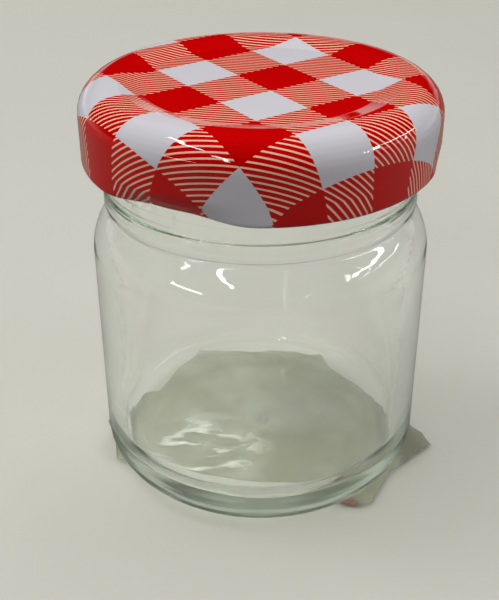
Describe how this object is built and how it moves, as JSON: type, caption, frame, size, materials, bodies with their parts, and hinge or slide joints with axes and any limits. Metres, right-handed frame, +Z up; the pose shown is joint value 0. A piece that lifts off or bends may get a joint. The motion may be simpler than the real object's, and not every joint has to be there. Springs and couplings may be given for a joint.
{
  "type": "small glass jar",
  "caption": "Short cylindrical glass jar with a rounded shoulder, closed by a printed twist-off lid, with a scrap of clear film stuck under its base.",
  "frame": {"origin": "on the jar's axis, in the plane it stands on", "axes": "+Z up along the jar's axis, -Y to the front, +X to the right"},
  "size_m": [0.049, 0.046, 0.0558],
  "materials": {
    "flint_glass": "clear, fire polished",
    "printed_tinplate": "gloss varnish over red and white gingham print",
    "sealing_compound": "satin",
    "clear_film": "clear, slightly crumpled"
  },
  "bodies": {
    "root": {"glass_jar": "flint_glass", "lid": "printed_tinplate", "lid_seal": "sealing_compound", "base_film": "clear_film"}
  },
  "joints": []
}
